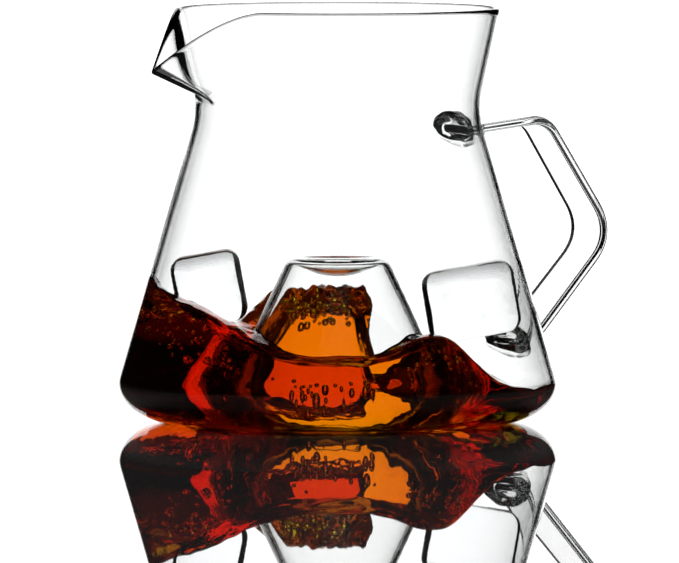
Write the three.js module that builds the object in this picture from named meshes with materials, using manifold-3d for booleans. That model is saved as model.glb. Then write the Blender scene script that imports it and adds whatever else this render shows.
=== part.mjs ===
// A blown glass carafe with a pulled V spout, a hollow cone pushed up in its base and a flat strip handle
// that is sealed on at two glass gobs. It holds an amber drink in mid-slosh and two blocks of clear ice.
// Millimetres, +Z up. The spout points to -X and the handle to +X. The carafe stands on z = 0.

import * as THREE from 'three';
import { mergeVertices } from 'three/addons/utils/BufferGeometryUtils.js';
import { RoundedBoxGeometry } from 'three/addons/geometries/RoundedBoxGeometry.js';
import Module from 'manifold-3d';

const wasm = await Module();
wasm.setup();

// Blown body: outer sizes
const wall = 1.5; // glass thickness everywhere
const footRadius = 46; // outer edge of the flat ring that the carafe stands on
const heelRadius = 59.75; // where the rounded heel runs into the straight side
const heelHeight = 12.5;
const waistRadius = 38.45; // where the lines of the side and of the flared neck would cross
const waistHeight = 85.2;
const waistBlend = 6; // how far the curve of the waist reaches up and down
const rimRadius = 44.4;
const rimHeight = 113;

// Hollow cone in the base: sizes of the hollow, seen from below
const coneTopRadius = 12.3;
const coneTopHeight = 44;
const coneBaseRadius = 32.8; // where the cone's line meets the table
const coneTopRound = 2.6; // reach of the curve at the cone's top edge
const coneBaseRound = 5.5; // reach of the curve into the foot ring
const coneDish = 4.6; // how deep the top of the cone is dished

// Spout
const spoutReach = 58.2; // from the body's axis to the tip
const spoutTipHeight = 96.3;
const spoutRootHeight = 86; // where the keel leaves the waist
const spoutHalfAngle = THREE.MathUtils.degToRad(33);
const spoutSharpness = 1.9; // power of the fall-off from the tip to the rim: 1 is a plain V
const keelRamp = 0.15; // share of the spout's height in which the keel bends out and gets its full wall

// Handle strip, measured on its middle line
const handleThickness = 2.5;
const handleTopWidth = 15.5;
const handleBottomWidth = 18.5;
const handleEdgeRound = 1.1;
const handleTopHeight = 79.2; // where the upper arm leaves the body
const handleCornerReach = 62.4; // from the body's axis to the upper corner
const handleCornerHeight = 81.7;
const handleCornerBend = 5;
const handleElbowReach = 83.2;
const handleElbowHeight = 49.6;
const handleElbowBend = 9.7;
const handleBottomHeight = 20.7; // where the lower arm meets the body

// Glass gobs that seal the handle to the body
const sealMargin = 4; // how far a gob reaches past each edge of the strip
const sealHeight = 10;
const sealDepth = 3.4; // how far a gob stands out of the wall

// Drink: heights of its surface above the table, in the view with the spout 30 degrees to the front
const viewTurn = THREE.MathUtils.degToRad(30);
const drinkLevel = 20;
const leftSwell = 16; // extra height where the drink climbs to the left
const leftSwellStart = 8; // distances from the axis, across the view
const leftSwellEnd = 52;
const leftClimb = 3; // extra height at the left wall itself
const leftClimbStart = 45;
const rightTrough = 10.5; // lost height towards the right wall
const rightTroughStart = 27;
const rightTroughEnd = 50;
const frontRidge = 5; // the small wave in front, to the right of the cone
const frontRidgeAcross = 26;
const frontRidgeSpread = 11;
const frontRidgeDepth = 25; // distance from the axis at which it is full, to the front
const farDrop = 7; // how much lower the surface is behind
const farDropDepth = [0, 35]; // distances behind the axis where it begins to fall and where it is lowest
const bowlDip = 4; // how much the surface in front falls from the glass towards the cone
const bowlReach = 18; // distance from the glass at which it is lowest
const bowlDepth = [-30, -12]; // distances behind the axis where this fades out
const backCrest = 19.5; // the wave that breaks behind the cone
const backCrestRise = [-32, -14]; // where it rises, across the view
const backCrestFall = [5, 12]; // where it falls
const backCrestDepth = [4, 20]; // distances behind the axis where it begins and where it is full
const backHollow = 4; // the dip in front of the breaking wave
const backHollowAcross = 13;
const backHollowSpread = 6;

// Ice
const iceDepth = 15; // along the wall
const iceRound = 4;
const iceClearance = 0.9; // to the wall and to the cone, so that a block can bob
const iceHeight = 20;
const leftIceHeight = 36.3; // of the block's middle
const leftIceTilt = THREE.MathUtils.degToRad(10); // a positive tilt leans the top to the wall
const rightIceHeight = 32.7;
const rightIceTilt = THREE.MathUtils.degToRad(-10);

// Fits
const seatGap = 0.3; // between pieces that touch

// Fineness of the round surfaces
const turnSteps = 60;
const curveSteps = 6;
const lipSteps = 4;
const surfaceSteps = 8;
const bedSteps = 16;
const gobSteps = 16;

// Helpers for profiles, which are lists of (radius, height) points

/** Moves a profile sideways along its normals; a positive distance goes to the left of its travel. */
function offsetProfile(points, distance) {
  return points.map((point, i) => {
    const before = points[Math.max(i - 1, 0)];
    const after = points[Math.min(i + 1, points.length - 1)];
    const into = i > 0 ? point.clone().sub(before).normalize() : after.clone().sub(point).normalize();
    const out = i < points.length - 1 ? after.clone().sub(point).normalize() : into;
    const tangent = into.clone().add(out).normalize();
    const miter = distance / Math.max(tangent.dot(into), 0.5);
    return new THREE.Vector2(point.x - tangent.y * miter, point.y + tangent.x * miter);
  });
}

/** The point at a distance from one point on the way to another; a negative one lies behind it. */
function towards(from, to, reach) {
  return to.clone().sub(from).setLength(reach).add(from);
}

/** A path along straight stretches with a curve at each inner corner. */
function roundedPath(corners, bends) {
  const path = new THREE.Path();
  path.moveTo(corners[0].x, corners[0].y);
  for (let i = 1; i < corners.length - 1; i += 1) {
    const start = towards(corners[i], corners[i - 1], bends[i - 1]);
    const end = towards(corners[i], corners[i + 1], bends[i - 1]);
    path.lineTo(start.x, start.y);
    path.quadraticCurveTo(corners[i].x, corners[i].y, end.x, end.y);
  }
  const last = corners[corners.length - 1];
  path.lineTo(last.x, last.y);
  return path;
}

/** The point of a profile where it first crosses a height, and the index of the point after it. */
function crossing(points, height) {
  const i = points.findIndex((p, k) => k > 0 && (p.y - height) * (points[k - 1].y - height) <= 0);
  const a = points[i - 1];
  const b = points[i];
  return { index: i, point: a.clone().lerp(b, (height - a.y) / (b.y - a.y)) };
}

/** The radius of the straight outer side at a height. */
function sideRadius(height) {
  const slope = (heelRadius - waistRadius) / (waistHeight - heelHeight);
  return heelRadius - slope * (height - heelHeight);
}

const sideLean = Math.atan((heelRadius - waistRadius) / (waistHeight - heelHeight));
const coneLean = Math.atan((coneBaseRadius - coneTopRadius) / coneTopHeight);

/** The radius of the cone's drink side at a height. */
function coneRadius(height) {
  return coneBaseRadius - Math.tan(coneLean) * height + wall / Math.cos(coneLean);
}

// Helpers for solids

/** Turns a closed geometry into a solid that can be joined and cut. */
function toSolid(geometry) {
  const bare = geometry.clone();
  bare.deleteAttribute('normal');
  bare.deleteAttribute('uv');
  const merged = mergeVertices(bare, 1e-4);
  const index = merged.index.array;
  const triangles = [];
  for (let i = 0; i < index.length; i += 3) {
    const [a, b, c] = [index[i], index[i + 1], index[i + 2]];
    if (a !== b && b !== c && c !== a) triangles.push(a, b, c);
  }
  const mesh = new wasm.Mesh({
    numProp: 3,
    vertProperties: new Float32Array(merged.attributes.position.array),
    triVerts: new Uint32Array(triangles),
  });
  return new wasm.Manifold(mesh);
}

/** Turns a solid back into a geometry. */
function toGeometry(solid) {
  const mesh = solid.getMesh();
  const geometry = new THREE.BufferGeometry();
  geometry.setAttribute('position', new THREE.BufferAttribute(mesh.vertProperties, 3));
  geometry.setIndex(new THREE.BufferAttribute(mesh.triVerts, 1));
  geometry.computeVertexNormals();
  return geometry;
}

/** A lathe turned about +Z; column 0 lies at -Y and the columns run towards +X. */
function lathe(profile) {
  return new THREE.LatheGeometry(profile, turnSteps).rotateX(Math.PI / 2);
}

// Blown body

/** The outer skin from the middle of the dished cone top, under the base and up the side to the rim. */
function outerSkin() {
  const dishMiddle = new THREE.Vector2(0, coneTopHeight - coneDish);
  const dishTurn = new THREE.Vector2(coneTopRadius / 2, dishMiddle.y);
  const coneTop = new THREE.Vector2(coneTopRadius, coneTopHeight);
  const coneFoot = new THREE.Vector2(coneBaseRadius, 0);
  const foot = new THREE.Vector2(footRadius, 0);
  const heel = new THREE.Vector2(heelRadius, heelHeight);
  const waist = new THREE.Vector2(waistRadius, waistHeight);
  const rim = new THREE.Vector2(rimRadius, rimHeight - wall / 2);
  const dishEnd = towards(coneTop, dishTurn, coneTopRound);
  const coneStart = towards(coneTop, coneFoot, coneTopRound);
  const coneEnd = towards(coneFoot, coneTop, coneBaseRound);
  const ringStart = towards(coneFoot, foot, coneBaseRound);
  const heelTurn = new THREE.Vector2(footRadius + 0.62 * (heelRadius - footRadius), 0);
  const heelLift = towards(heel, waist, -heelHeight / 2);
  const waistStart = towards(waist, heel, waistBlend);
  const waistEnd = towards(waist, rim, waistBlend);

  const path = new THREE.Path();
  path.moveTo(dishMiddle.x, dishMiddle.y);
  path.quadraticCurveTo(dishTurn.x, dishTurn.y, dishEnd.x, dishEnd.y);
  path.quadraticCurveTo(coneTop.x, coneTop.y, coneStart.x, coneStart.y);
  path.lineTo(coneEnd.x, coneEnd.y);
  path.quadraticCurveTo(coneFoot.x, coneFoot.y, ringStart.x, ringStart.y);
  path.lineTo(foot.x, foot.y);
  path.bezierCurveTo(heelTurn.x, heelTurn.y, heelLift.x, heelLift.y, heel.x, heel.y);
  path.lineTo(waistStart.x, waistStart.y);
  path.quadraticCurveTo(waist.x, waist.y, waistEnd.x, waistEnd.y);
  for (let step = 1; step <= curveSteps; step += 1) {
    path.lineTo(
      THREE.MathUtils.lerp(waistEnd.x, rim.x, step / curveSteps),
      THREE.MathUtils.lerp(waistEnd.y, rim.y, step / curveSteps),
    );
  }
  return path.getPoints(curveSteps);
}

/** The inner skin: the outer one moved in by the wall. */
function innerSkin(outer, thickness) {
  const inner = offsetProfile(outer, thickness);
  inner[0].x = 0;
  return inner;
}

/** Pulls the rim out and down into the spout. share is 0 on the outer skin and 1 on the inner one. */
function pullSpout(vertex, share) {
  const height = (vertex.z - spoutRootHeight) / (rimHeight - spoutRootHeight);
  const turn = Math.abs(Math.atan2(vertex.y, -vertex.x));
  if (height <= 0 || turn >= spoutHalfAngle) return vertex;
  const bend = height < keelRamp ? height ** 2 / (2 * keelRamp) : height - keelRamp / 2;
  const rise = bend / (1 - keelRamp / 2);
  const pull = (1 - turn / spoutHalfAngle) ** spoutSharpness;
  const keelRise = Math.atan2(spoutTipHeight - spoutRootHeight, spoutReach - waistRadius);
  const lift = wall * share * pull * Math.min(rise / keelRamp, 1);
  const out = pull * rise * (spoutReach - rimRadius) + lift * (1 - Math.sin(keelRise));
  const down = pull * rise * (rimHeight - spoutTipHeight) - lift * Math.cos(keelRise);
  return vertex.set(vertex.x - out, vertex.y, vertex.z - down);
}

/** The whole blown shell, as one turned wall with its spout pulled. */
function bodyGeometry() {
  const outer = outerSkin();
  const inner = innerSkin(outer, wall);
  const last = outer.length - 1;
  const lipMiddle = outer[last].clone().lerp(inner[last], 0.5);
  const across = outer[last].clone().sub(lipMiddle);
  const along = new THREE.Vector2(-across.y, across.x);
  const lip = [];
  for (let step = 1; step < lipSteps; step += 1) {
    const turn = (Math.PI * step) / lipSteps;
    const point = lipMiddle.clone().addScaledVector(across, Math.cos(turn));
    lip.push(point.addScaledVector(along, Math.sin(turn)));
  }
  const profile = [...outer, ...lip, ...inner.toReversed()];
  const shares = profile.map((_, i) => THREE.MathUtils.clamp((i - last) / lipSteps, 0, 1));
  const geometry = lathe(profile);
  const position = geometry.attributes.position;
  const vertex = new THREE.Vector3();
  for (let i = 0; i < position.count; i += 1) {
    pullSpout(vertex.fromBufferAttribute(position, i), shares[i % profile.length]);
    position.setXYZ(i, vertex.x, vertex.y, vertex.z);
  }
  return toGeometry(toSolid(geometry));
}

/** The outer wall from the foot ring up to the rim. */
function outerWall() {
  const outer = outerSkin();
  return outer.slice(outer.findLastIndex((p) => p.y === 0));
}

/** The radius of the outer wall at a height, and its lean from upright there. */
function wallAt(height) {
  const side = outerWall();
  const { index, point } = crossing(side, height);
  const along = side[index].clone().sub(side[index - 1]);
  return { radius: point.x, lean: Math.atan2(-along.x, along.y) };
}

/** A filled copy of the body above its foot, grown by the seat gap, that trims what is sealed onto it. */
function sideTrimmer() {
  const side = offsetProfile(outerWall(), -seatGap);
  const bottom = new THREE.Vector2(0, side[0].y);
  const top = new THREE.Vector2(0, side[side.length - 1].y);
  return toSolid(lathe([bottom, ...side, top]));
}

// Handle

/** The bent strip, grown by extra on all sides, with its ends run on into the body. */
function stripGeometry(extra) {
  const corners = [
    new THREE.Vector2(wallAt(handleTopHeight).radius - 2 * wall, handleTopHeight),
    new THREE.Vector2(handleCornerReach, handleCornerHeight),
    new THREE.Vector2(handleElbowReach, handleElbowHeight),
    new THREE.Vector2(wallAt(handleBottomHeight).radius, handleBottomHeight),
  ];
  corners[3] = towards(corners[2], corners[3], corners[2].distanceTo(corners[3]) + 2 * wall);
  const middle = roundedPath(corners, [handleCornerBend, handleElbowBend]).getPoints(2 * curveSteps);
  const half = handleThickness / 2 + extra;
  const outline = [...offsetProfile(middle, half), ...offsetProfile(middle, -half).toReversed()];
  const width = handleTopWidth + 2 * extra;
  const geometry = new THREE.ExtrudeGeometry(new THREE.Shape(outline), {
    depth: width - 2 * handleEdgeRound,
    bevelThickness: handleEdgeRound,
    bevelSize: handleEdgeRound,
    bevelOffset: -handleEdgeRound,
    bevelSegments: 2,
    steps: 1,
  });
  geometry.translate(0, 0, handleEdgeRound - width / 2).rotateX(Math.PI / 2);
  const position = geometry.attributes.position;
  for (let i = 0; i < position.count; i += 1) {
    const fall = (handleTopHeight - position.getZ(i)) / (handleTopHeight - handleBottomHeight);
    const spread = THREE.MathUtils.lerp(handleTopWidth, handleBottomWidth, fall) / handleTopWidth;
    position.setY(i, position.getY(i) * spread);
  }
  return geometry;
}

/** A gob pressed flat on the side at a height, with a socket for the strip's end. */
function sealGeometry(height, stripWidth, trimmer) {
  const { radius, lean } = wallAt(height);
  const gob = new THREE.SphereGeometry(1, gobSteps, gobSteps / 2);
  gob.scale(2 * sealDepth, stripWidth / 2 + sealMargin, sealHeight / 2);
  gob.rotateY(-lean);
  gob.translate(radius - sealDepth * Math.cos(lean), 0, height);
  return toGeometry(toSolid(gob).subtract(trimmer).subtract(toSolid(stripGeometry(seatGap))));
}

// Ice

/** The placing of an ice block: its width and distance from the axis fill the space left for it. */
function icePlace(height, tilt) {
  const reach = (iceHeight / 2) * (Math.cos(tilt) + Math.abs(Math.sin(tilt)));
  const shift = (iceHeight / 2) * Math.sin(tilt);
  const glass = sideRadius(height + reach) - wall / Math.cos(sideLean) - iceClearance;
  const outer = Math.sqrt(glass ** 2 - (iceDepth / 2) ** 2) - shift;
  const inner = coneRadius(height - reach) + iceClearance + shift;
  return { width: (outer - inner) / Math.cos(tilt), radius: (outer + inner) / 2 };
}

/** A melted block at an angle round the axis, tilted towards the wall, grown by extra. */
function iceGeometry(height, turn, tilt, extra) {
  const { width, radius } = icePlace(height, tilt);
  const size = [width, iceDepth, iceHeight].map((length) => length + 2 * extra);
  const block = new RoundedBoxGeometry(...size, 3, iceRound);
  block.rotateY(tilt);
  block.translate(radius, 0, height);
  return block.rotateZ(turn);
}

const leftTurn = Math.PI - viewTurn; // the left of the view, as an angle from +X
const rightTurn = -viewTurn;
const leftIce = (extra) => iceGeometry(leftIceHeight, leftTurn, leftIceTilt, extra);
const rightIce = (extra) => iceGeometry(rightIceHeight, rightTurn, rightIceTilt, extra);

// Drink

/** The height of the drink's surface over a point of the table. */
function drinkHeight(x, y) {
  const { smoothstep } = THREE.MathUtils;
  const bell = (value, middle, spread) => Math.exp(-(((value - middle) / spread) ** 2));
  const across = x * Math.cos(viewTurn) - y * Math.sin(viewTurn);
  const behind = x * Math.sin(viewTurn) + y * Math.cos(viewTurn);
  const swell = leftSwell * smoothstep(-across, leftSwellStart, leftSwellEnd);
  const climb = leftClimb * smoothstep(-across, leftClimbStart, leftSwellEnd);
  const trough = rightTrough * smoothstep(across, rightTroughStart, rightTroughEnd);
  const front = smoothstep(-behind, -frontRidgeDepth, frontRidgeDepth);
  const ridge = frontRidge * bell(across, frontRidgeAcross, frontRidgeSpread) * front;
  const back = smoothstep(behind, ...backCrestDepth);
  const breaking = smoothstep(across, ...backCrestRise) * (1 - smoothstep(across, ...backCrestFall));
  const hollow = backHollow * bell(across, backHollowAcross, backHollowSpread);
  const glass = sideRadius(drinkLevel) - wall;
  const bowl = smoothstep(glass - Math.hypot(x, y), 0, bowlReach) * (1 - smoothstep(behind, ...bowlDepth));
  const drop = farDrop * smoothstep(behind, ...farDropDepth) + bowlDip * bowl;
  return drinkLevel + swell + climb - trough - drop + ridge + back * (backCrest * breaking - hollow);
}

/** Where the drink's surface meets a stretch of the bed, in the direction of one column. */
function shoreline(stretch, dirX, dirY) {
  let meeting = crossing(stretch, drinkLevel);
  for (let pass = 0; pass < 4; pass += 1) {
    meeting = crossing(stretch, drinkHeight(meeting.point.x * dirX, meeting.point.x * dirY));
  }
  return meeting;
}

/** Points at even steps along a profile. */
function evenPoints(points, count) {
  const path = new THREE.Path();
  path.setFromPoints(points);
  return path.getSpacedPoints(count);
}

/** The drink: it fills the bed between the cone and the side up to its surface, round the ice. */
function drinkGeometry() {
  const bed = innerSkin(outerSkin(), wall + seatGap);
  const lowest = bed.reduce((low, p, i) => (p.y < bed[low].y ? i : low), 0);
  const highest = bed.reduce((high, p, i) => (i < lowest && p.y > bed[high].y ? i : high), 0);
  const coneSide = bed.slice(highest, lowest + 1);
  const glassSide = bed.slice(lowest);
  const columns = bedSteps + surfaceSteps + 1;
  const placeholder = Array.from({ length: columns + 1 }, (_, i) => new THREE.Vector2(1, i));
  const geometry = lathe(placeholder);
  const position = geometry.attributes.position;
  for (let turn = 0; turn <= turnSteps; turn += 1) {
    const angle = (2 * Math.PI * turn) / turnSteps;
    const [dirX, dirY] = [Math.sin(angle), -Math.cos(angle)];
    const inner = shoreline(coneSide, dirX, dirY);
    const outer = shoreline(glassSide, dirX, dirY);
    const fromCone = [inner.point, ...coneSide.slice(inner.index)];
    const upGlass = [...glassSide.slice(1, outer.index), outer.point];
    const loop = evenPoints([...fromCone, ...upGlass], bedSteps);
    for (let step = 1; step <= surfaceSteps; step += 1) {
      const radius = THREE.MathUtils.lerp(outer.point.x, inner.point.x, step / (surfaceSteps + 1));
      loop.push(new THREE.Vector2(radius, drinkHeight(radius * dirX, radius * dirY)));
    }
    loop.push(inner.point);
    loop.forEach((p, i) => position.setXYZ(turn * loop.length + i, p.x * dirX, p.x * dirY, p.y));
  }
  const solid = toSolid(geometry);
  return toGeometry(solid.subtract(toSolid(leftIce(seatGap))).subtract(toSolid(rightIce(seatGap))));
}

// Finishes

/** A smooth finish under a name. */
function finish(name, color, roughness) {
  return new THREE.MeshStandardMaterial({ name, color, roughness, metalness: 0 });
}

const clearGlass = finish('clear_glass', 0xf2f7f6, 0.03);
const amberDrink = finish('amber_drink', 0xc84a08, 0.05);
const clearIce = finish('clear_ice', 0xe9f1f5, 0.08);

// The carafe, in its named pieces

const carafe = new THREE.Group();
const trimmer = sideTrimmer();

/** Adds one piece to the carafe under its own name. */
function addPiece(name, geometry, material) {
  const piece = new THREE.Mesh(geometry, material);
  piece.name = name;
  carafe.add(piece);
}

const strip = toSolid(stripGeometry(0)).subtract(trimmer);
const upperSeal = sealGeometry(handleTopHeight, handleTopWidth, trimmer);
const lowerSeal = sealGeometry(handleBottomHeight, handleBottomWidth, trimmer);
addPiece('carafe_body', bodyGeometry(), clearGlass);
addPiece('handle', toGeometry(strip), clearGlass);
addPiece('upper_handle_seal', upperSeal, clearGlass);
addPiece('lower_handle_seal', lowerSeal, clearGlass);
addPiece('drink', drinkGeometry(), amberDrink);
addPiece('left_ice_block', toGeometry(toSolid(leftIce(0))), clearIce);
addPiece('right_ice_block', toGeometry(toSolid(rightIce(0))), clearIce);

// The origin lies under the middle of the whole piece
const bounds = new THREE.Box3().setFromObject(carafe);
carafe.position.x = -(bounds.min.x + bounds.max.x) / 2;
carafe.updateMatrixWorld(true);

export default carafe;
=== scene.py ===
"""Looks of a glass carafe with an amber drink and clear ice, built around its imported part."""

import logging
import math
from collections.abc import Sequence
from dataclasses import dataclass, field
from enum import Enum
from random import Random

import bmesh
import bpy
from mathutils import Matrix, Vector, noise
from mathutils.geometry import interpolate_bezier


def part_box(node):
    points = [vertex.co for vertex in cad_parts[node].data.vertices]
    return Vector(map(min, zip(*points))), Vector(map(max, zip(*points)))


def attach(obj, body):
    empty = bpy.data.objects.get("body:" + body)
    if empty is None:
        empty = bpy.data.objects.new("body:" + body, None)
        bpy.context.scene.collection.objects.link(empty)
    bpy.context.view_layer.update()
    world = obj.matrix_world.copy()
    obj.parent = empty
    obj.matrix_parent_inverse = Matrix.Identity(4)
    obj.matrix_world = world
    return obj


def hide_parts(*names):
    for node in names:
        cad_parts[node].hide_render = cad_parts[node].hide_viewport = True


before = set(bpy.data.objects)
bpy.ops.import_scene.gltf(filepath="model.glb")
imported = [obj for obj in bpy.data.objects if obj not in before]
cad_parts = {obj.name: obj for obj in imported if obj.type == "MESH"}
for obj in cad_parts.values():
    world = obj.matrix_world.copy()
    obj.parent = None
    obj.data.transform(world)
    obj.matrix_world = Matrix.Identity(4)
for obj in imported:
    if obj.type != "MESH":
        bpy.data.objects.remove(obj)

LOG = logging.getLogger("carafe")
MM = 0.001  # metres in a millimetre
VIEW_TURN = math.radians(30.0)  # the spout's turn towards the viewer
MERGE = 1e-4  # millimetres within which points are one
SHARPEST = 0.5  # least cosine of half a profile's turn


class Slot(Enum):
    """The record's material slots."""

    GLASS = "clear_glass"
    DRINK = "amber_drink"
    ICE = "clear_ice"


class Body(Enum):
    """The bodies that pieces ride on."""

    CARAFE = "carafe"
    LEFT_ICE = "left_ice"
    RIGHT_ICE = "right_ice"


# Shader graphs


class Socket:
    """A shader output that takes part in Python expressions."""

    def __init__(self, graph: "Graph", link: bpy.types.NodeSocket) -> None:
        """Wraps an output of a node of the graph."""
        self.graph = graph
        self.link = link

    def _math(self, operation: str, first: "Socket | float", second: "Socket | float") -> "Socket":
        """Adds a Math node.

        Args:
            operation: The Math node's operation.
            first: Its first value.
            second: Its second value.

        Returns:
            The node's output.
        """
        return self.graph.node("ShaderNodeMath", {"operation": operation}, {0: first, 1: second})

    def __add__(self, other: "Socket | float") -> "Socket":
        """This plus other."""
        return self._math("ADD", self, other)

    def __radd__(self, other: float) -> "Socket":
        """Other plus this."""
        return self._math("ADD", other, self)

    def __sub__(self, other: "Socket | float") -> "Socket":
        """This minus other."""
        return self._math("SUBTRACT", self, other)

    def __rsub__(self, other: float) -> "Socket":
        """Other minus this."""
        return self._math("SUBTRACT", other, self)

    def __mul__(self, other: "Socket | float") -> "Socket":
        """This times other."""
        return self._math("MULTIPLY", self, other)

    def __rmul__(self, other: float) -> "Socket":
        """Other times this."""
        return self._math("MULTIPLY", other, self)


class Graph:
    """The nodes of one material or world."""

    def __init__(self, tree: bpy.types.NodeTree) -> None:
        """Empties the tree and keeps it."""
        self.tree = tree
        tree.nodes.clear()

    def node(
        self,
        kind: str,
        settings: dict[str, object],
        inputs: dict[str | int, object],
        output: str = "",
    ) -> Socket:
        """Adds a node.

        Args:
            kind: The node's type.
            settings: Its own settings, by name.
            inputs: Values or sockets for its shown inputs, by name or number.
            output: The name of the wanted output, or nothing for the first shown one.

        Returns:
            The output, or the first input of a node without outputs.
        """
        made = self.tree.nodes.new(kind)
        for name, value in settings.items():
            setattr(made, name, value)
        shown = {socket.name: socket for socket in made.inputs if socket.enabled}
        for name, value in inputs.items():
            socket = made.inputs[name] if isinstance(name, int) else shown[name]
            if isinstance(value, Socket):
                self.tree.links.new(value.link, socket)
            else:
                socket.default_value = value
        outputs = [socket for socket in made.outputs if socket.enabled and output in ("", socket.name)]
        return Socket(self, outputs[0] if outputs else made.inputs[0])

    def place(self) -> Socket:
        """The Object coordinates."""
        return self.node("ShaderNodeTexCoord", {}, {}, "Object")

    def noise(self, scale: float, detail: float) -> Socket:
        """A noise pattern on Object coordinates.

        Args:
            scale: Waves per metre, roughly.
            detail: Finer layers.

        Returns:
            The noise, from 0 to 1.
        """
        sockets = {"Vector": self.place(), "Scale": scale, "Detail": detail}
        return self.node("ShaderNodeTexNoise", {}, sockets)

    def blend(self, factor: Socket, first: Sequence[float], second: Sequence[float]) -> Socket:
        """Mixes two colours.

        Args:
            factor: Share of the second colour.
            first: Red, green and blue.
            second: Red, green and blue.

        Returns:
            The mixed colour.
        """
        sockets = {"Factor": factor, "A": (*first, 1.0), "B": (*second, 1.0)}
        return self.node("ShaderNodeMix", {"data_type": "RGBA"}, sockets)


@dataclass(frozen=True)
class ClearFinish:
    """A clear material that bends light: glass or ice."""

    name: str
    bend: float  # index of refraction
    first_tint: tuple[float, float, float]
    second_tint: tuple[float, float, float]
    tint_scale: float
    smooth: float  # lowest roughness
    rough: float  # highest roughness
    wave_scale: float
    wave_depth: float  # metres
    shade: float  # light taken up per metre, which darkens the edges
    shade_tint: tuple[float, float, float] = (0.0, 0.04, 0.03)
    tint_detail: float = 3.0
    wave_detail: float = 1.0

    def make(self) -> bpy.types.Material:
        """Makes the material.

        Returns:
            The finished material.
        """
        material = bpy.data.materials.new(self.name)
        material.use_nodes = True
        graph = Graph(material.node_tree)
        pattern = graph.noise(self.tint_scale, self.tint_detail)
        waves = graph.noise(self.wave_scale, self.wave_detail)
        bump_inputs = {"Strength": 1.0, "Distance": self.wave_depth, "Height": waves}
        bump = graph.node("ShaderNodeBump", {}, bump_inputs)
        sockets = {
            "Base Color": graph.blend(pattern, self.first_tint, self.second_tint),
            "Roughness": pattern * (self.rough - self.smooth) + self.smooth,
            "IOR": self.bend,
            "Transmission Weight": 1.0,
            "Normal": bump,
        }
        shader = graph.node("ShaderNodeBsdfPrincipled", {}, sockets)
        depth_inputs = {"Color": (*self.shade_tint, 1.0), "Density": self.shade}
        depth = graph.node("ShaderNodeVolumeAbsorption", {}, depth_inputs)
        graph.node("ShaderNodeOutputMaterial", {}, {"Surface": shader, "Volume": depth})
        return material


@dataclass(frozen=True)
class DrinkFinish:
    """A clear liquid that takes up blue and green light on the way through."""

    name: str = "amber_drink"
    bend: float = 1.36
    tint: tuple[float, float, float] = (0.988, 0.902, 0.0)
    density: float = 600.0  # per metre
    first_skin: tuple[float, float, float] = (1.0, 0.97, 0.9)  # tints of the surface
    second_skin: tuple[float, float, float] = (1.0, 1.0, 0.98)
    rough: float = 0.01  # highest roughness
    wave_scale: float = 90.0
    wave_detail: float = 2.0
    wave_depth: float = 0.0004  # metres

    def make(self) -> bpy.types.Material:
        """Makes the material.

        Returns:
            The finished material.
        """
        material = bpy.data.materials.new(self.name)
        material.use_nodes = True
        graph = Graph(material.node_tree)
        waves = graph.noise(self.wave_scale, self.wave_detail)
        bump_inputs = {"Strength": 1.0, "Distance": self.wave_depth, "Height": waves}
        sockets = {
            "Base Color": graph.blend(waves, self.first_skin, self.second_skin),
            "Roughness": waves * self.rough,
            "IOR": self.bend,
            "Transmission Weight": 1.0,
            "Normal": graph.node("ShaderNodeBump", {}, bump_inputs),
        }
        shader = graph.node("ShaderNodeBsdfPrincipled", {}, sockets)
        depth_inputs = {"Color": (*self.tint, 1.0), "Density": self.density}
        depth = graph.node("ShaderNodeVolumeAbsorption", {}, depth_inputs)
        graph.node("ShaderNodeOutputMaterial", {}, {"Surface": shader, "Volume": depth})
        return material


@dataclass(frozen=True)
class FloorFinish:
    """A white, polished table top."""

    name: str = "polished_white_table"
    first_tint: tuple[float, float, float] = (0.86, 0.86, 0.86)
    second_tint: tuple[float, float, float] = (0.9, 0.9, 0.9)
    tint_scale: float = 3.0
    tint_detail: float = 2.0
    roughness: float = 0.01
    bend: float = 2.0  # index of refraction
    polish_bend: float = 2.4

    def make(self) -> bpy.types.Material:
        """Makes the material.

        Returns:
            The finished material.
        """
        material = bpy.data.materials.new(self.name)
        material.use_nodes = True
        graph = Graph(material.node_tree)
        pattern = graph.noise(self.tint_scale, self.tint_detail)
        sockets = {
            "Base Color": graph.blend(pattern, self.first_tint, self.second_tint),
            "Roughness": self.roughness,
            "IOR": self.bend,
            "Coat Weight": 1.0,
            "Coat Roughness": self.roughness,
            "Coat IOR": self.polish_bend,
        }
        shader = graph.node("ShaderNodeBsdfPrincipled", {}, sockets)
        graph.node("ShaderNodeOutputMaterial", {}, {"Surface": shader})
        return material


@dataclass(frozen=True)
class PanelFinish:
    """The lit cloth of a studio light panel, dimmer towards its edges."""

    name: str = "lit_panel"
    strength: float = 1.55
    edge_loss: float = 0.1  # share of the light that is lost at the left and right edges

    def make(self, half_width: float) -> bpy.types.Material:
        """Makes the material.

        Args:
            half_width: Half the panel's width, in metres.

        Returns:
            The finished material.
        """
        material = bpy.data.materials.new(self.name)
        material.use_nodes = True
        graph = Graph(material.node_tree)
        across = graph.node("ShaderNodeSeparateXYZ", {}, {"Vector": graph.place()})
        share = across * (1.0 / half_width)
        square = share * share
        edge = (1.0 - self.edge_loss,) * 3
        colour = graph.blend(square * square * square, (1.0, 1.0, 1.0), edge)
        glow = graph.node("ShaderNodeEmission", {}, {"Color": colour, "Strength": self.strength})
        graph.node("ShaderNodeOutputMaterial", {}, {"Surface": glow})
        return material


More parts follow.
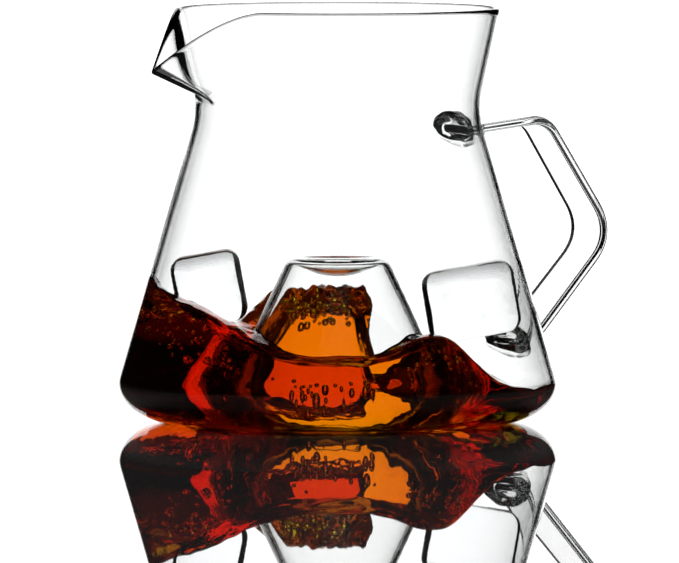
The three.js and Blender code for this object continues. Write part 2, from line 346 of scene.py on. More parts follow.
GLASS = ClearFinish(
    name="clear_glass",
    bend=1.47,
    first_tint=(0.985, 0.995, 0.99),
    second_tint=(1.0, 1.0, 1.0),
    tint_scale=25.0,
    smooth=0.0,
    rough=0.006,
    wave_scale=35.0,
    wave_depth=0.0001,
    shade=14.0,
)
ICE = ClearFinish(
    name="clear_ice",
    bend=1.31,
    first_tint=(0.97, 0.985, 1.0),
    second_tint=(1.0, 1.0, 1.0),
    tint_scale=60.0,
    smooth=0.0,
    rough=0.01,
    wave_scale=120.0,
    wave_depth=0.0006,
    shade=4.0,
)


# Curves and meshes


def bent(start: Vector, corner: Vector, end: Vector, count: int) -> list[Vector]:
    """Points of a curve that leaves start and reaches end along lines through a corner.

    Args:
        start: First point.
        corner: Where the two lines cross.
        end: Last point.
        count: Number of points.

    Returns:
        The points, both ends included.
    """
    return interpolate_bezier(start, start.lerp(corner, 2 / 3), end.lerp(corner, 2 / 3), end, count)


def towards(origin: Vector, target: Vector, reach: float) -> Vector:
    """The point at a distance from origin on the way to target; a negative one lies behind it."""
    return origin + (target - origin).normalized() * reach


def at(radius: float, height: float) -> Vector:
    """A point of a profile, in the plane of +X and +Z."""
    return Vector((radius, 0.0, height))


def inset(points: Sequence[Vector], distance: float) -> list[Vector]:
    """Moves a profile to the left of its travel.

    Args:
        points: The profile, in the plane of +X and +Z.
        distance: How far it moves.

    Returns:
        The moved profile.
    """
    moved = []
    for i, point in enumerate(points):
        before = points[max(i - 1, 0)]
        after = points[min(i + 1, len(points) - 1)]
        into = (point - before if i > 0 else after - point).normalized()
        out = (after - point).normalized() if i < len(points) - 1 else into
        travel = (into + out).normalized()
        reach = distance / max(travel.dot(into), SHARPEST)
        moved.append(point + Vector((-travel.z, 0.0, travel.x)) * reach)
    return moved


def smoothstep(value: float, low: float, high: float) -> float:
    """A soft step from 0 at low to 1 at high."""
    share = min(max((value - low) / (high - low), 0.0), 1.0)
    return share * share * (3.0 - 2.0 * share)


def bell(value: float, middle: float, spread: float) -> float:
    """A bell curve of height 1 round a middle."""
    return math.exp(-(((value - middle) / spread) ** 2))


def in_view(x: float, y: float) -> tuple[float, float]:
    """A point of the table as seen by the viewer.

    Args:
        x: Along X from the body's axis.
        y: Along Y.

    Returns:
        How far it lies to the right, and how far behind the axis.
    """
    across = x * math.cos(VIEW_TURN) - y * math.sin(VIEW_TURN)
    behind = x * math.sin(VIEW_TURN) + y * math.cos(VIEW_TURN)
    return across, behind


def chain(bm: bmesh.types.BMesh, points: Sequence[Vector]) -> list[bmesh.types.BMVert]:
    """Adds a chain of edges.

    Args:
        bm: The mesh that takes it.
        points: Its corners.

    Returns:
        The new vertices.
    """
    made = [bm.verts.new(point) for point in points]
    for first, second in zip(made, made[1:]):
        bm.edges.new((first, second))
    return made


def turn_round(bm: bmesh.types.BMesh, steps: int) -> None:
    """Spins everything in a mesh once round +Z and merges the seam and the poles."""
    bmesh.ops.spin(
        bm,
        geom=bm.verts[:] + bm.edges[:],
        cent=(0.0, 0.0, 0.0),
        axis=(0.0, 0.0, 1.0),
        dvec=(0.0, 0.0, 0.0),
        angle=math.tau,
        steps=steps,
        use_merge=True,
        use_duplicate=False,
    )
    bmesh.ops.remove_doubles(bm, verts=bm.verts[:], dist=MERGE)


@dataclass
class Maker:
    """Turns meshes in millimetres round the body's axis into pieces of the scene."""

    axis: float  # where the body's axis stands along X, in metres

    def piece(
        self,
        bm: bmesh.types.BMesh,
        name: str,
        material: bpy.types.Material,
        body: Body,
        nodes: Sequence[str] = (),
        turn_out: bool = True,
    ) -> bpy.types.Object:
        """Finishes a mesh as a piece.

        Args:
            bm: The mesh, in millimetres from the body's axis; it is freed.
            name: The piece's name.
            material: Its finish.
            body: The body that it rides on.
            nodes: The solids that it stands for.
            turn_out: Whether its faces still have to be turned outwards.

        Returns:
            The new object.
        """
        place = Matrix.Translation((self.axis, 0.0, 0.0)) @ Matrix.Scale(MM, 4)
        bmesh.ops.transform(bm, matrix=place, verts=bm.verts[:])
        if turn_out:
            bmesh.ops.recalc_face_normals(bm, faces=bm.faces[:])
        for face in bm.faces:
            face.smooth = True
        mesh = bpy.data.meshes.new(name)
        bm.to_mesh(mesh)
        bm.free()
        mesh.materials.append(material)
        made = bpy.data.objects.new(name, mesh)
        bpy.context.scene.collection.objects.link(made)
        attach(made, body.value)
        if nodes:
            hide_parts(*nodes)
        LOG.info("%s: %d faces", name, len(mesh.polygons))
        return made


# The carafe


@dataclass
class BlownBody:
    """The blown glass: foot ring, heel, side, waist, flared neck, spout and the cone in the base."""

    wall: float = 1.5
    foot_radius: float = 46.0
    heel_radius: float = 59.66  # a little inside the facets of the solid
    heel_height: float = 12.5
    heel_fullness: float = 0.62  # share of the way to the heel at which the foot's curve turns up
    waist_radius: float = 38.45
    waist_height: float = 85.2
    waist_blend: float = 6.0
    rim_radius: float = 44.4
    rim_height: float = 112.98
    cone_top_radius: float = 12.3
    cone_top_height: float = 44.0
    cone_base_radius: float = 32.8
    cone_top_round: float = 2.6
    cone_base_round: float = 5.5
    cone_dish: float = 4.6
    spout_reach: float = 58.2
    spout_tip_height: float = 96.3
    spout_root_height: float = 86.0
    spout_half_angle: float = math.radians(33.0)
    spout_sharpness: float = 1.9
    keel_ramp: float = 0.15
    turn_steps: int = 240
    curve_points: int = 16
    lip_steps: int = 8

    def side_slope(self) -> float:
        """Radius lost per millimetre of height on the straight side."""
        return (self.heel_radius - self.waist_radius) / (self.waist_height - self.heel_height)

    def side_radius(self, height: float) -> float:
        """The radius of the straight outer side at a height."""
        return self.heel_radius - self.side_slope() * (height - self.heel_height)

    def side_lean(self) -> float:
        """The lean of the straight side from upright, in radians."""
        return math.atan(self.side_slope())

    def cone_lean(self) -> float:
        """The lean of the cone from upright, in radians."""
        return math.atan((self.cone_base_radius - self.cone_top_radius) / self.cone_top_height)

    def cone_radius(self, height: float) -> float:
        """The radius of the cone's drink side at a height."""
        thick = self.wall / math.cos(self.cone_lean())
        return self.cone_base_radius - math.tan(self.cone_lean()) * height + thick

    def outer_skin(self) -> list[Vector]:
        """The outer skin from the middle of the dished cone top, under the base and up to the rim."""
        count = self.curve_points
        dish_middle = at(0.0, self.cone_top_height - self.cone_dish)
        dish_turn = at(self.cone_top_radius / 2, dish_middle.z)
        cone_top = at(self.cone_top_radius, self.cone_top_height)
        cone_foot = at(self.cone_base_radius, 0.0)
        foot = at(self.foot_radius, 0.0)
        heel = at(self.heel_radius, self.heel_height)
        waist = at(self.waist_radius, self.waist_height)
        rim = at(self.rim_radius, self.rim_height - self.wall / 2)
        dish_end = towards(cone_top, dish_turn, self.cone_top_round)
        cone_start = towards(cone_top, cone_foot, self.cone_top_round)
        cone_end = towards(cone_foot, cone_top, self.cone_base_round)
        ring_start = towards(cone_foot, foot, self.cone_base_round)
        heel_turn = foot.lerp(at(self.heel_radius, 0.0), self.heel_fullness)
        heel_lift = towards(heel, waist, -self.heel_height / 2)
        waist_start = towards(waist, heel, self.waist_blend)
        waist_end = towards(waist, rim, self.waist_blend)
        skin = bent(dish_middle, dish_turn, dish_end, count)
        skin += bent(dish_end, cone_top, cone_start, count)[1:]
        skin += bent(cone_end, cone_foot, ring_start, count)
        skin += interpolate_bezier(foot, heel_turn, heel_lift, heel, count)
        skin += bent(waist_start, waist, waist_end, count)
        skin += [waist_end.lerp(rim, step / count) for step in range(1, count + 1)]
        return skin

    def inner_skin(self, thickness: float) -> list[Vector]:
        """The outer skin moved in by a thickness."""
        skin = inset(self.outer_skin(), thickness)
        skin[0].x = 0.0
        return skin

    def spout_pull(self, place: Vector, share: float) -> Vector:
        """How far the spout pulls a point of the wall.

        Args:
            place: The point on the turned wall.
            share: 0 on the outer skin and 1 on the inner one.

        Returns:
            The pull.
        """
        rise = (place.z - self.spout_root_height) / (self.rim_height - self.spout_root_height)
        turn = abs(math.atan2(place.y, -place.x))
        if rise <= 0.0 or turn >= self.spout_half_angle:
            return Vector((0.0, 0.0, 0.0))
        ramp = self.keel_ramp
        rise = (rise * rise / (2 * ramp) if rise < ramp else rise - ramp / 2) / (1.0 - ramp / 2)
        pull = (1.0 - turn / self.spout_half_angle) ** self.spout_sharpness
        keel_rise = math.atan2(
            self.spout_tip_height - self.spout_root_height, self.spout_reach - self.waist_radius
        )
        lift = self.wall * share * pull * min(rise / self.keel_ramp, 1.0)
        out = pull * rise * (self.spout_reach - self.rim_radius) + lift * (1.0 - math.sin(keel_rise))
        down = pull * rise * (self.rim_height - self.spout_tip_height) - lift * math.cos(keel_rise)
        return Vector((-out, 0.0, -down))

    def build(self, maker: Maker) -> bpy.types.Object:
        """Builds the body as one turned wall with its spout pulled.

        Args:
            maker: Places the piece.

        Returns:
            The piece.
        """
        outer = self.outer_skin()
        inner = self.inner_skin(self.wall)
        middle = outer[-1].lerp(inner[-1], 0.5)
        across = outer[-1] - middle
        along = Vector((-across.z, 0.0, across.x))
        turns = [math.pi * step / self.lip_steps for step in range(1, self.lip_steps)]
        lip = [middle + across * math.cos(turn) + along * math.sin(turn) for turn in turns]
        profile = outer + lip + inner[::-1]
        bm = bmesh.new()
        share = bm.verts.layers.float.new("share")
        for i, vertex in enumerate(chain(bm, profile)):
            vertex[share] = min(max((i - len(outer) + 1) / self.lip_steps, 0.0), 1.0)
        turn_round(bm, self.turn_steps)
        for vertex in bm.verts:
            vertex.co += self.spout_pull(vertex.co, vertex[share])
        return maker.piece(
            bm, "blown_body", GLASS.make(), Body.CARAFE, nodes=("carafe_body",)
        )


@dataclass
class StripHandle:
    """The flat glass strip, bent to an angular handle."""

    body: BlownBody
    thickness: float = 2.5
    top_width: float = 15.5
    bottom_width: float = 18.5
    edge_round: float = 1.1
    top_height: float = 79.2
    corner: Vector = field(default_factory=lambda: at(62.4, 81.7))
    corner_bend: float = 5.0
    elbow: Vector = field(default_factory=lambda: at(83.19, 49.6))
    elbow_bend: float = 9.7
    bottom_height: float = 20.7
    sunk: float = 1.0  # how far the ends sink into the body's wall
    bend_points: int = 14
    edge_steps: int = 5
    edge_angle: float = math.radians(50.0)  # sharper edges are rounded

    def middle_line(self) -> list[Vector]:
        """The strip's middle line from the upper end to the lower one."""
        start = at(self.body.side_radius(self.top_height), self.top_height)
        end = at(self.body.side_radius(self.bottom_height), self.bottom_height)
        start = towards(start, self.corner, -self.sunk)
        end = towards(end, self.elbow, -self.sunk)
        line = [start]
        bends = (
            (start, self.corner, self.elbow, self.corner_bend),
            (self.corner, self.elbow, end, self.elbow_bend),
        )
        for before, turn, after, reach in bends:
            line += bent(towards(turn, before, reach), turn, towards(turn, after, reach), self.bend_points)
        return [*line, end]

    def build(self, maker: Maker) -> bpy.types.Object:
        """Builds the strip as a bent sheet with thickness and rounded edges.

        Args:
            maker: Places the piece.

        Returns:
            The piece.
        """
        bm = bmesh.new()
        chain(bm, self.middle_line())
        bmesh.ops.translate(bm, verts=bm.verts[:], vec=(0.0, -self.top_width / 2, 0.0))
        grown = bmesh.ops.extrude_edge_only(bm, edges=bm.edges[:])
        far_side = [item for item in grown["geom"] if isinstance(item, bmesh.types.BMVert)]
        bmesh.ops.translate(bm, verts=far_side, vec=(0.0, self.top_width, 0.0))
        for vertex in bm.verts:
            fall = (self.top_height - vertex.co.z) / (self.top_height - self.bottom_height)
            width = self.top_width + (self.bottom_width - self.top_width) * fall
            vertex.co.y *= width / self.top_width
        strip = maker.piece(
            bm, "handle_strip", GLASS.make(), Body.CARAFE, nodes=("handle",)
        )
        thicken = strip.modifiers.new("thickness", "SOLIDIFY")
        thicken.thickness = self.thickness * MM
        thicken.offset = 0.0
        thicken.use_even_offset = True
        edges = strip.modifiers.new("rounded_edges", "BEVEL")
        edges.width = self.edge_round * MM
        edges.segments = self.edge_steps
        edges.limit_method = "ANGLE"
        edges.angle_limit = self.edge_angle
        edges.harden_normals = True
        return strip


@dataclass
class HandleSeal:
    """A glass gob that seals one end of the handle to the body."""

    body: BlownBody
    name: str
    node: str
    height: float
    strip_width: float
    margin: float = 4.0
    tall: float = 10.0
    depth: float = 3.4
    sunk: float = 1.0  # how far its back sinks into the body's wall
    uneven: float = 0.12  # share of its size by which it is uneven
    uneven_scale: float = 1.7
    turn_steps: int = 64
    ring_steps: int = 40

    def build(self, maker: Maker) -> bpy.types.Object:
        """Builds the gob as an uneven ball that is pressed flat on the wall.

        Args:
            maker: Places the piece.

        Returns:
            The piece.
        """
        lean = self.body.side_lean()
        reach = self.body.side_radius(self.height) - self.depth * math.cos(lean)
        half = (2 * self.depth, self.strip_width / 2 + self.margin, self.tall / 2)
        place = Matrix.Translation((reach, 0.0, self.height)) @ Matrix.Rotation(-lean, 4, "Y")
        bm = bmesh.new()
        bmesh.ops.create_uvsphere(
            bm, u_segments=self.turn_steps, v_segments=self.ring_steps, radius=1.0
        )
        start = Vector((0.0, 0.0, self.height))
        for vertex in bm.verts:
            bump = noise.noise(vertex.co * self.uneven_scale + start)
            vertex.co *= 1.0 - self.uneven * (0.5 + bump)
        bmesh.ops.transform(bm, matrix=place @ Matrix.Diagonal((*half, 1.0)), verts=bm.verts[:])
        for vertex in bm.verts:
            radius = math.hypot(vertex.co.x, vertex.co.y)
            least = self.body.side_radius(vertex.co.z) - self.sunk
            if radius < least:
                vertex.co.x *= least / radius
                vertex.co.y *= least / radius
        return maker.piece(bm, self.name, GLASS.make(), Body.CARAFE, nodes=(self.node,))


@dataclass
class IceBlock:
    """A melted block of clear ice between the cone and the side."""

    body: BlownBody
    name: str
    node: str
    rides: Body
    height: float  # of its middle
    turn: float  # round the axis, from +X
    tilt: float
    seed: float
    tall: float = 20.0
    deep: float = 15.0
    edge_round: float = 4.0
    clearance: float = 0.9
    melt: float = 0.35  # how uneven the faces are
    melt_scale: float = 0.12
    cuts: int = 14
    edge_steps: int = 6

    def span(self) -> tuple[float, float]:
        """How near to the axis and how far from it the block reaches at its middle height."""
        body = self.body
        reach = self.tall / 2 * (math.cos(self.tilt) + abs(math.sin(self.tilt)))
        shift = self.tall / 2 * math.sin(self.tilt)
        glass = body.side_radius(self.height + reach) - body.wall / math.cos(body.side_lean())
        outer = math.sqrt((glass - self.clearance) ** 2 - (self.deep / 2) ** 2) - shift
        inner = body.cone_radius(self.height - reach) + self.clearance + shift
        return inner, outer

    def middle(self) -> Vector:
        """The block's middle, from the body's axis."""
        return Matrix.Rotation(self.turn, 3, "Z") @ Vector((sum(self.span()) / 2, 0.0, self.height))

    def mesh(self, shrink: float) -> bmesh.types.BMesh:
        """Makes the block's mesh.

        Args:
            shrink: How much smaller it is on every side.

        Returns:
            The mesh, in millimetres from the body's axis.
        """
        inner, outer = self.span()
        width = (outer - inner) / math.cos(self.tilt)
        size = [length - 2 * shrink for length in (width, self.deep, self.tall)]
        bm = bmesh.new()
        bmesh.ops.create_cube(bm, size=1.0)
        bmesh.ops.scale(bm, vec=size, verts=bm.verts[:])
        bmesh.ops.bevel(
            bm,
            geom=bm.edges[:],
            offset=self.edge_round,
            offset_type="OFFSET",
            segments=self.edge_steps,
            profile=0.5,
            affect="EDGES",
            material=-1,
        )
        long_edges = [edge for edge in bm.edges if edge.calc_length() > self.edge_round * 2]
        bmesh.ops.subdivide_edges(bm, edges=long_edges, cuts=self.cuts, use_grid_fill=True)
        for vertex in bm.verts:
            bump = noise.noise(vertex.co * self.melt_scale + Vector((self.seed, 0.0, 0.0)))
            vertex.co *= 1.0 - self.melt * (0.5 + 0.5 * bump) / self.tall
        place = Matrix.Translation(self.middle()) @ Matrix.Rotation(self.turn, 4, "Z")
        place @= Matrix.Rotation(self.tilt, 4, "Y")
        bmesh.ops.transform(bm, matrix=place, verts=bm.verts[:])
        return bm

    def build(self, maker: Maker) -> bpy.types.Object:
        """Builds the block.

        Args:
            maker: Places the piece.

        Returns:
            The piece.
        """
        return maker.piece(self.mesh(0.0), self.name, ICE.make(), self.rides, nodes=(self.node,))


@dataclass(frozen=True)
class BubbleZone:
    """A part of the drink with bubbles, in millimetres as the viewer sees it."""

    across: tuple[float, float]
    behind: tuple[float, float]
    depth: tuple[float, float]  # under the surface
    radius: tuple[float, float]
    tries: int


BUBBLE_ZONES = (
    BubbleZone((-18.0, 4.0), (14.0, 38.0), (0.1, 5.0), (0.4, 1.5), 160),
    BubbleZone((-34.0, -17.0), (-14.0, 24.0), (0.1, 3.0), (0.35, 1.3), 150),
    BubbleZone((-12.0, 10.0), (-47.0, -38.0), (4.5, 7.5), (0.4, 1.0), 40),
    BubbleZone((17.0, 36.0), (-44.0, -20.0), (2.0, 7.0), (0.3, 0.9), 40),
    BubbleZone((-52.0, -24.0), (-34.0, 6.0), (2.0, 14.0), (0.3, 1.1), 70),
)


@dataclass
class Drink:
    """The amber drink in mid-slosh, with pockets for the ice."""

    body: BlownBody
    ice: Sequence[IceBlock]
    level: float = 20.0
    far_drop: float = 7.0
    far_drop_depth: tuple[float, float] = (0.0, 35.0)
    bowl_dip: float = 4.0  # how much the surface in front falls from the glass towards the cone
    bowl_reach: float = 18.0
    bowl_depth: tuple[float, float] = (-30.0, -12.0)
    left_swell: float = 16.0
    left_swell_start: float = 8.0
    left_swell_end: float = 52.0
    left_climb: float = 3.0
    left_climb_start: float = 45.0
    right_trough: float = 10.5
    right_trough_start: float = 27.0
    right_trough_end: float = 50.0
    front_ridge: float = 5.0
    front_ridge_across: float = 26.0
    front_ridge_spread: float = 11.0
    front_ridge_depth: float = 25.0
    back_crest: float = 19.5
    back_crest_rise: tuple[float, float] = (-32.0, -14.0)
    back_crest_fall: tuple[float, float] = (4.0, 13.0)
    back_crest_depth: tuple[float, float] = (4.0, 20.0)
    back_crest_fall_off: float = 0.1  # share of its height that it loses towards the glass
    back_hollow: float = 4.0
    back_hollow_across: float = 13.0
    back_hollow_spread: float = 6.0
    ripple: float = 0.7  # height of the small ripples
    ripple_scale: float = 0.11
    fine_ripple: float = 0.5  # share of the ripples that the finer ones have
    fine_ripple_scale: float = 0.27
    churn: float = 2.0  # height of the broken water on the crest
    churn_scale: float = 0.4
    climb: float = 1.2  # how high the drink creeps up the glass
    climb_width: float = 1.5
    overhang: float = 5.0  # how far the crest leans over
    overhang_heights: tuple[float, float] = (22.0, 32.0)
    overhang_across: tuple[float, float] = (-8.0, 8.0)
    sunk: float = 0.4  # how far it reaches into the glass, so that no air lies between
    stand_in: float = 10.0  # radius of the ring that is turned first and then takes each outline's place
    turn_steps: int = 270
    bed_steps: int = 70
    surface_steps: int = 34
    shore_rounds: int = 5  # rounds that bring the level at the shore to rest
    crowding: float = 0.14  # how much closer the surface's points stand at the glass and the cone
    pocket_shrink: float = 0.15
    bubble_gap: float = 0.15  # least distance of a bubble to anything else
    bubble_floor: float = 4.0  # least height of a bubble
    ice_share: float = 0.72  # share of a block's height that bubbles keep from its middle
    bubble_steps: int = 3
    bubble_seed: int = 11

    def height(self, x: float, y: float) -> float:
        """The height of the surface over a point of the table.

        Args:
            x: Along X from the body's axis.
            y: Along Y.

        Returns:
            The height.
        """
        across, behind = in_view(x, y)
        glass = self.body.side_radius(self.level) - self.body.wall
        swell = self.left_swell * smoothstep(-across, self.left_swell_start, self.left_swell_end)
        swell += self.left_climb * smoothstep(-across, self.left_climb_start, self.left_swell_end)
        trough = self.right_trough * smoothstep(across, self.right_trough_start, self.right_trough_end)
        front = smoothstep(-behind, -self.front_ridge_depth, self.front_ridge_depth)
        ridge = self.front_ridge * bell(across, self.front_ridge_across, self.front_ridge_spread) * front
        back = smoothstep(behind, *self.back_crest_depth)
        rise = smoothstep(across, *self.back_crest_rise)
        breaking = rise * (1.0 - smoothstep(across, *self.back_crest_fall))
        hollow = self.back_hollow * bell(across, self.back_hollow_across, self.back_hollow_spread)
        place = Vector((x, y, 0.0))
        fine = self.fine_ripple * noise.noise(place * self.fine_ripple_scale)
        ripple = self.ripple * (noise.noise(place * self.ripple_scale) + fine)
        churn = self.churn * noise.noise(place * self.churn_scale) * breaking * back
        fading = 1.0 - self.back_crest_fall_off * smoothstep(behind, self.back_crest_depth[1], glass)
        crest = back * (self.back_crest * breaking * fading - hollow)
        drop = self.far_drop * smoothstep(behind, *self.far_drop_depth)
        bowl = smoothstep(glass - math.hypot(x, y), 0.0, self.bowl_reach)
        drop += self.bowl_dip * bowl * (1.0 - smoothstep(behind, *self.bowl_depth))
        return self.level + swell - trough - drop + ridge + crest + ripple + churn

    def shore(self, stretch: Sequence[Vector], way: Vector) -> tuple[int, Vector]:
        """Where the surface meets a stretch of the bed.

        Args:
            stretch: The bed's profile.
            way: The direction of the column over the table.

        Returns:
            The index of the point after the meeting, and the meeting itself.
        """
        level = self.level
        index, meeting = 1, stretch[0]
        for _ in range(self.shore_rounds):
            for index in range(1, len(stretch)):
                low, high = stretch[index - 1].z - level, stretch[index].z - level
                if low * high <= 0.0 and low != high:
                    meeting = stretch[index - 1].lerp(stretch[index], low / (low - high))
                    break
            level = self.height(meeting.x * way.x, meeting.x * way.y) + self.climb
        return index, meeting

    def bed(self) -> tuple[list[Vector], list[Vector]]:
        """The profile that the drink lies on: down the cone, and on up the side."""
        skin = self.body.inner_skin(self.body.wall - self.sunk)
        lowest = min(range(len(skin)), key=lambda i: skin[i].z)
        highest = max(range(lowest), key=lambda i: skin[i].z)
        return skin[highest : lowest + 1], skin[lowest:]

    def column(self, way: Vector, bed: tuple[list[Vector], list[Vector]]) -> list[Vector]:
        """The outline of the drink in one direction from the axis: along the bed and back on top.

        Args:
            way: The direction over the table.
            bed: The profile under the drink.

        Returns:
            The outline's points, in the plane of radius and height.
        """
        cone_side, glass_side = bed
        inner_index, inner = self.shore(cone_side, way)
        outer_index, outer = self.shore(glass_side, way)
        under = [inner, *cone_side[inner_index:], *glass_side[1:outer_index], outer]
        lengths = [0.0]
        for first, second in zip(under, under[1:]):
            lengths.append(lengths[-1] + (second - first).length)
        outline = []
        stop = 1
        for step in range(self.bed_steps + 1):
            reach = lengths[-1] * step / self.bed_steps
            while lengths[stop] < reach and stop < len(lengths) - 1:
                stop += 1
            length = lengths[stop] - lengths[stop - 1]
            share = (reach - lengths[stop - 1]) / length if length > 0.0 else 0.0
            outline.append(under[stop - 1].lerp(under[stop], share))
        for step in range(1, self.surface_steps):
            share = step / self.surface_steps
            radius = outer.x + (inner.x - outer.x) * (share - self.crowding * math.sin(math.tau * share))
            creep = math.exp((radius - outer.x) / self.climb_width)
            creep += math.exp((inner.x - radius) / self.climb_width)
            level = self.height(radius * way.x, radius * way.y) + self.climb * creep
            outline.append(at(radius, level))
        return outline

    def lean_over(self, place: Vector, share: float) -> Vector:
        """How far the breaking crest leans to the right.

        Args:
            place: A point of the surface.
            share: Its share of the way from the glass to the cone.

        Returns:
            The lean, over the table.
        """
        across, behind = in_view(place.x, place.y)
        lean = self.overhang * smoothstep(place.z, *self.overhang_heights)
        lean *= smoothstep(across, *self.overhang_across) * smoothstep(behind, *self.back_crest_depth)
        lean *= math.sin(math.pi * min(max(share, 0.0), 1.0)) ** 0.5
        return Vector((math.cos(VIEW_TURN), -math.sin(VIEW_TURN), 0.0)) * lean

    def mesh(self) -> bmesh.types.BMesh:
        """Makes the drink's mesh, without its pockets.

        Returns:
            The mesh, in millimetres from the body's axis.
        """
        bm = bmesh.new()
        station = bm.verts.layers.int.new("station")
        count = self.bed_steps + self.surface_steps
        ring = chain(bm, [at(self.stand_in + i, float(i)) for i in range(count)])
        bm.edges.new((ring[-1], ring[0]))
        for i, vertex in enumerate(ring):
            vertex[station] = i
        turn_round(bm, self.turn_steps)
        bed = self.bed()
        outlines: dict[int, list[Vector]] = {}
        for vertex in bm.verts:
            way = Vector((vertex.co.x, vertex.co.y, 0.0)).normalized()
            turn = round(math.atan2(way.y, way.x) / math.tau * self.turn_steps) % self.turn_steps
            if turn not in outlines:
                outlines[turn] = self.column(way, bed)
            place = outlines[turn][vertex[station]]
            vertex.co = (way.x * place.x, way.y * place.x, place.z)
            vertex.co += self.lean_over(vertex.co, (vertex[station] - self.bed_steps) / self.surface_steps)
        bmesh.ops.recalc_face_normals(bm, faces=bm.faces[:])
        return bm

    def build(self, maker: Maker) -> bpy.types.Object:
        """Builds the drink and cuts its pockets.

        Args:
            maker: Places the piece.

        Returns:
            The piece.
        """
        whole = bpy.data.meshes.new("drink_whole")
        bm = self.mesh()
        bm.to_mesh(whole)
        bm.free()
        uncut = bpy.data.objects.new("drink_whole", whole)
        bpy.context.scene.collection.objects.link(uncut)
        blocks = []
        for block in self.ice:
            shape = bpy.data.meshes.new("pocket")
            bm = block.mesh(self.pocket_shrink)
            bmesh.ops.recalc_face_normals(bm, faces=bm.faces[:])
            bm.to_mesh(shape)
            bm.free()
            pocket = bpy.data.objects.new("pocket", shape)
            bpy.context.scene.collection.objects.link(pocket)
            cut = uncut.modifiers.new("pocket", "BOOLEAN")
            cut.operation = "DIFFERENCE"
            cut.solver = "EXACT"
            cut.object = pocket
            blocks.append(pocket)
        bm = bmesh.new()
        bm.from_object(uncut, bpy.context.evaluated_depsgraph_get())
        for scratch in (uncut, *blocks):
            bpy.data.objects.remove(scratch)
        self.add_bubbles(bm)
        return maker.piece(
            bm,
            "amber_drink",
            DrinkFinish().make(),
            Body.CARAFE,
            nodes=("drink",),
            turn_out=False,
        )

    def has_room(self, place: Vector, radius: float) -> bool:
        """Whether a bubble lies wholly in the drink.

        Args:
            place: Its middle, from the body's axis.
            radius: Its radius.

        Returns:
            True if no wall, no ice and no open surface is too near.
        """
        reach = radius + self.bubble_gap
        out = math.hypot(place.x, place.y)
        glass = self.body.side_radius(place.z) - self.body.wall / math.cos(self.body.side_lean())
        between = self.body.cone_radius(place.z) + reach < out < glass - reach
        if not between or place.z < self.bubble_floor + reach:
            return False
        keep = [block.tall * self.ice_share + reach for block in self.ice]
        return all((block.middle() - place).length > far for block, far in zip(self.ice, keep))

    def add_bubbles(self, bm: bmesh.types.BMesh) -> None:
        """Adds bubbles under the surface, as small hollows in the drink."""
        draw = Random(self.bubble_seed)
        made: list[tuple[Vector, float]] = []
        balls = bmesh.new()
        for zone in BUBBLE_ZONES:
            for _ in range(zone.tries):
                across, behind = draw.uniform(*zone.across), draw.uniform(*zone.behind)
                radius = zone.radius[0] + (zone.radius[1] - zone.radius[0]) * draw.random() ** 2
                depth = draw.uniform(*zone.depth) + radius + self.bubble_gap
                x = across * math.cos(VIEW_TURN) + behind * math.sin(VIEW_TURN)
                y = behind * math.cos(VIEW_TURN) - across * math.sin(VIEW_TURN)
                place = Vector((x, y, self.height(x, y) - depth))
                near = any((place - other).length < radius + size + self.bubble_gap for other, size in made)
                if near or not self.has_room(place, radius):
                    continue
                made.append((place, radius))
                bmesh.ops.create_icosphere(
                    balls,
                    subdivisions=self.bubble_steps,
                    radius=radius,
                    matrix=Matrix.Translation(place),
                )
        bmesh.ops.reverse_faces(balls, faces=balls.faces[:])
        hollows = bpy.data.meshes.new("bubbles")
        balls.to_mesh(hollows)
        balls.free()
        bm.from_mesh(hollows)
        LOG.info("bubbles: %d", len(made))


# The studio


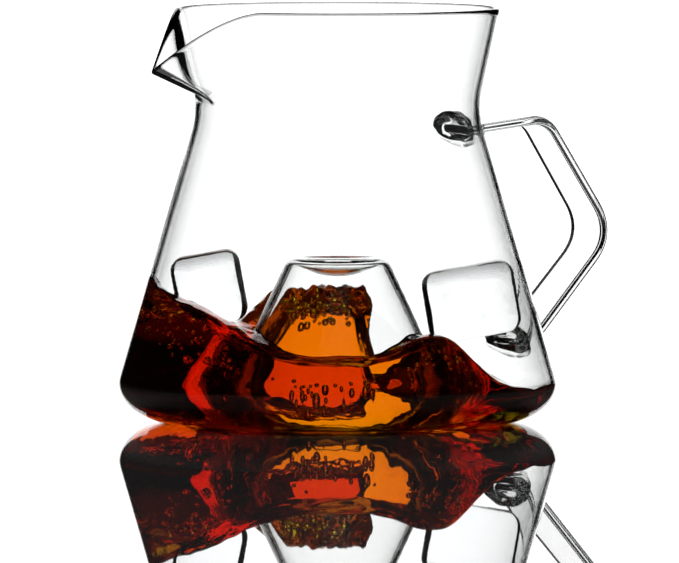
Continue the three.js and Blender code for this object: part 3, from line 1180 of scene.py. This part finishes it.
@dataclass
class Studio:
    """The table, the light panel behind the carafe, the soft light above and the camera."""

    maker: Maker
    frame_width: float = 679.0  # pixels
    frame_height: float = 563.0
    pixel: float = 0.2733 * MM  # metres per pixel at the body's axis
    axis_column: float = 337.5  # pixel column of the body's axis
    table_row: float = 421.0  # pixel row of the table at the axis
    distance: float = 3.85
    elevation: float = math.radians(3.23)
    table_radius: float = 0.62
    table_gap: float = 0.1 * MM  # between the table and the foot ring
    panel_reach: float = 9.0  # from the camera
    panel_half_width: float = 1.4
    panel_below: float = 1.0  # how far the panel reaches below the middle of the view
    panel_above: float = 5.5
    sensor: float = 36.0  # millimetres
    farthest: float = 50.0  # end of the camera's sight
    table_steps: int = 128
    lamp_height: float = 1.3
    lamp_size: float = 0.7
    lamp_energy: float = 1.0  # watts
    room: tuple[float, float, float] = (0.002, 0.002, 0.002)  # what the pieces get from the room
    backdrop: tuple[float, float, float] = (1.3, 1.3, 1.3)  # what the camera sees beside the panel
    bounces: int = 32
    mirror_bounces: int = 16

    def lay_table(self) -> bpy.types.Object:
        """Lays the round table top.

        Returns:
            The table top.
        """
        bm = bmesh.new()
        bmesh.ops.create_circle(bm, cap_ends=True, segments=self.table_steps, radius=self.table_radius)
        mesh = bpy.data.meshes.new("table_top")
        bm.to_mesh(mesh)
        bm.free()
        mesh.materials.append(FloorFinish().make())
        table = bpy.data.objects.new("table_top", mesh)
        table.location = (0.0, 0.0, -self.table_gap)
        bpy.context.scene.collection.objects.link(table)
        return table

    def set_camera(self) -> bpy.types.Object:
        """Sets up the camera at the picture's angle.

        Returns:
            The camera.
        """
        data = bpy.data.cameras.new("camera")
        data.sensor_width = self.sensor
        data.lens = self.sensor * self.distance / (self.frame_width * self.pixel)
        data.clip_end = self.farthest
        camera = bpy.data.objects.new("camera", data)
        bpy.context.scene.collection.objects.link(camera)
        right = Vector((math.cos(VIEW_TURN), -math.sin(VIEW_TURN), 0.0))
        flat = Vector((-math.sin(VIEW_TURN), -math.cos(VIEW_TURN), 0.0))
        back = flat * math.cos(self.elevation) + Vector((0.0, 0.0, math.sin(self.elevation)))
        aim = Vector((self.maker.axis, 0.0, 0.0))
        aim += right * (self.frame_width / 2 - self.axis_column) * self.pixel
        aim.z += (self.table_row - self.frame_height / 2) * self.pixel / math.cos(self.elevation)
        camera.location = aim + back * self.distance
        camera.rotation_mode = "QUATERNION"
        camera.rotation_quaternion = (-back).to_track_quat("-Z", "Y")
        bpy.context.scene.camera = camera
        return camera

    def hang_panel(self, camera: bpy.types.Object) -> None:
        """Hangs the light panel behind the carafe, square to the camera."""
        bm = bmesh.new()
        bmesh.ops.create_grid(bm, x_segments=1, y_segments=1, size=1.0)
        half = (self.panel_half_width, (self.panel_above + self.panel_below) / 2, 1.0)
        bmesh.ops.scale(bm, vec=half, verts=bm.verts[:])
        lift = (0.0, (self.panel_above - self.panel_below) / 2, 0.0)
        bmesh.ops.translate(bm, vec=lift, verts=bm.verts[:])
        mesh = bpy.data.meshes.new("light_panel")
        bm.to_mesh(mesh)
        bm.free()
        mesh.materials.append(PanelFinish().make(self.panel_half_width))
        panel = bpy.data.objects.new("light_panel", mesh)
        bpy.context.scene.collection.objects.link(panel)
        panel.parent = camera
        panel.location = (0.0, 0.0, -self.panel_reach)

    def light(self, table: bpy.types.Object) -> None:
        """Hangs the soft light above, which is shaded from all but the table, in a dim room."""
        data = bpy.data.lights.new("soft_light", "AREA")
        data.shape = "DISK"
        data.size = self.lamp_size
        data.energy = self.lamp_energy
        lamp = bpy.data.objects.new("soft_light", data)
        lamp.location = (0.0, 0.0, self.lamp_height)
        bpy.context.scene.collection.objects.link(lamp)
        shaded = bpy.data.collections.new("lit_from_above")
        shaded.objects.link(table)
        lamp.light_linking.receiver_collection = shaded
        world = bpy.data.worlds.new("studio")
        bpy.context.scene.world = world
        world.use_nodes = True
        graph = Graph(world.node_tree)
        seen = graph.node("ShaderNodeLightPath", {}, {})
        colour = graph.blend(seen, self.room, self.backdrop)
        room = graph.node("ShaderNodeBackground", {}, {"Color": colour})
        graph.node("ShaderNodeOutputWorld", {}, {"Surface": room})

    def set_up(self) -> None:
        """Sets up the whole studio."""
        table = self.lay_table()
        self.hang_panel(self.set_camera())
        self.light(table)
        scene = bpy.context.scene
        scene.view_settings.view_transform = "Standard"
        scene.cycles.max_bounces = self.bounces
        scene.cycles.transmission_bounces = self.bounces
        scene.cycles.glossy_bounces = self.mirror_bounces


def main() -> None:
    """Builds the carafe and its studio."""
    logging.basicConfig(level=logging.INFO)
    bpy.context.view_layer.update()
    body = BlownBody()
    lowest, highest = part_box("carafe_body")
    maker = Maker(axis=(lowest[0] + highest[0]) / 2)
    handle = StripHandle(body)
    left = IceBlock(
        body,
        "left_ice",
        "left_ice_block",
        Body.LEFT_ICE,
        height=36.3,
        turn=math.pi - VIEW_TURN,
        tilt=math.radians(10.0),
        seed=3.0,
    )
    right = IceBlock(
        body,
        "right_ice",
        "right_ice_block",
        Body.RIGHT_ICE,
        height=32.7,
        turn=-VIEW_TURN,
        tilt=math.radians(-10.0),
        seed=7.0,
    )
    body.build(maker)
    handle.build(maker)
    seals = (
        ("upper", handle.top_height, handle.top_width),
        ("lower", handle.bottom_height, handle.bottom_width),
    )
    for end, height, width in seals:
        HandleSeal(body, f"{end}_seal", f"{end}_handle_seal", height, width).build(maker)
    Drink(body, (left, right)).build(maker)
    left.build(maker)
    right.build(maker)
    Studio(maker).set_up()


if __name__ == "__main__":
    main()
